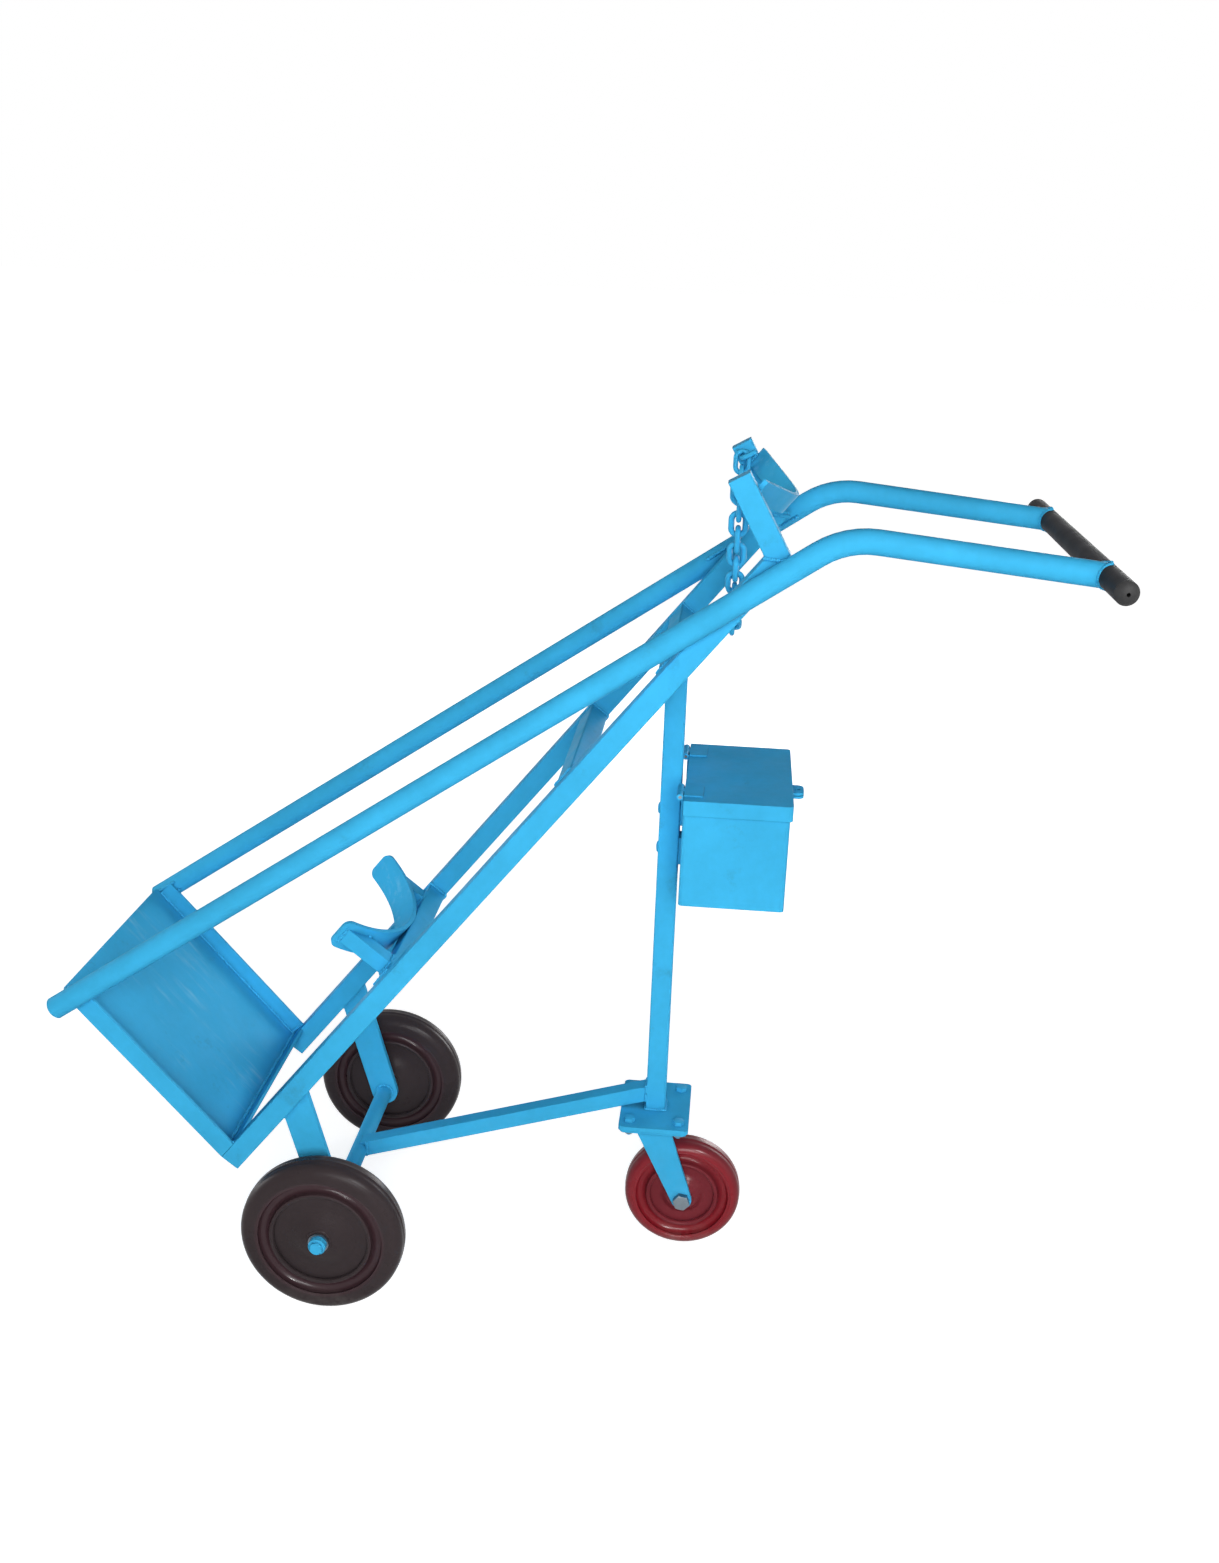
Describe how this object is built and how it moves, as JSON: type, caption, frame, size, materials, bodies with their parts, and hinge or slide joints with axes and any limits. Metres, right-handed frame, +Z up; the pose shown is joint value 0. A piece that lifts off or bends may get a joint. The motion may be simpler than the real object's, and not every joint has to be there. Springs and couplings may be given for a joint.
{
  "type": "gas cylinder trolley",
  "caption": "Leaning tube-frame trolley for a gas cylinder, with toe plate, curved saddles, retaining chain, fixed front wheels, swivel castor, cross handle and hinged tool box.",
  "frame": {"origin": "on the floor under the middle of the whole trolley", "axes": "+X along the trolley from the toe plate to the handle, +Y to the right of a person at the handle who faces the toe plate, +Z up"},
  "size_m": [1.1662, 0.5258, 1.0286],
  "materials": {
    "blue_enamel": "gloss enamel",
    "black_enamel": "satin",
    "black_rubber": "matt",
    "maroon_wheel": "gloss",
    "red_wheel": "gloss",
    "zinc_steel": "zinc plated"
  },
  "bodies": {
    "frame": {"axle": "blue_enamel", "axle_sleeve": "blue_enamel", "axle_washers": "zinc_steel", "box_hinge_leaves": "blue_enamel", "box_padlock_tab": "blue_enamel", "castor_bolts": "blue_enamel", "castor_kingpin": "zinc_steel", "castor_mount_plate": "blue_enamel", "castor_nuts": "zinc_steel", "castor_race": "zinc_steel", "castor_top_plate": "blue_enamel", "handle_bar": "black_enamel", "hinge_pins": "zinc_steel", "left_axle_bracket": "blue_enamel", "left_axle_collar": "blue_enamel", "left_chain_pin": "blue_enamel", "left_chain_post": "blue_enamel", "left_handle_plug": "black_rubber", "left_rear_bar": "blue_enamel", "left_saddle_post": "blue_enamel", "left_side_tube": "blue_enamel", "left_toe_rail": "blue_enamel", "left_tube_cap": "blue_enamel", "leg": "blue_enamel", "leg_cross_bar": "blue_enamel", "lower_cross_bar": "blue_enamel", "lower_saddle": "blue_enamel", "middle_cross_bar": "blue_enamel", "rear_toe_rail": "blue_enamel", "right_axle_bracket": "blue_enamel", "right_axle_collar": "blue_enamel", "right_chain_hook": "blue_enamel", "right_chain_post": "blue_enamel", "right_handle_plug": "black_rubber", "right_rear_bar": "blue_enamel", "right_saddle_post": "blue_enamel", "right_side_tube": "blue_enamel", "right_toe_rail": "blue_enamel", "right_tube_cap": "blue_enamel", "stay_bar": "blue_enamel", "toe_plate": "blue_enamel", "toolbox_body": "blue_enamel", "toolbox_bolts": "blue_enamel", "toolbox_nuts": "blue_enamel", "toolbox_spacers": "blue_enamel", "upper_saddle": "blue_enamel"},
    "left_wheel": {"left_wheel": "maroon_wheel", "left_wheel_bush": "zinc_steel"},
    "right_wheel": {"right_wheel": "maroon_wheel", "right_wheel_bush": "zinc_steel"},
    "castor_fork": {"castor_fork": "blue_enamel", "castor_axle_bolt": "zinc_steel", "castor_axle_nut": "zinc_steel"},
    "castor_wheel": {"castor_wheel": "red_wheel", "castor_bush": "zinc_steel"},
    "toolbox_lid": {"toolbox_lid": "blue_enamel", "lid_hinge_leaves": "blue_enamel", "lid_padlock_tab": "blue_enamel"},
    "chain": {"retaining_chain": "blue_enamel"}
  },
  "joints": [
    {"name": "left_wheel_spin", "type": "hinge", "parent": "frame", "child": "left_wheel", "pos_m": [-0.25342, -0.191, 0.1], "axis": [0, 1, 0], "continuous": true},
    {"name": "right_wheel_spin", "type": "hinge", "parent": "frame", "child": "right_wheel", "pos_m": [-0.25342, 0.191, 0.1], "axis": [0, 1, 0], "continuous": true},
    {"name": "castor_swivel", "type": "hinge", "parent": "frame", "child": "castor_fork", "pos_m": [0.13459, 0, 0.19], "axis": [0, 0, 1], "continuous": true},
    {"name": "castor_wheel_spin", "type": "hinge", "parent": "castor_fork", "child": "castor_wheel", "pos_m": [0.17458, 0, 0.075], "axis": [0, 1, 0], "continuous": true},
    {"name": "lid_hinge", "type": "hinge", "parent": "frame", "child": "toolbox_lid", "pos_m": [0.14808, 0, 0.651], "axis": [0, -1, 0], "range_deg": [0, 90]},
    {"name": "chain_swing", "type": "hinge", "parent": "frame", "child": "chain", "pos_m": [0.1952, 0, 1.00862], "axis": [0, 1, 0], "range_deg": [-3, 130]}
  ]
}
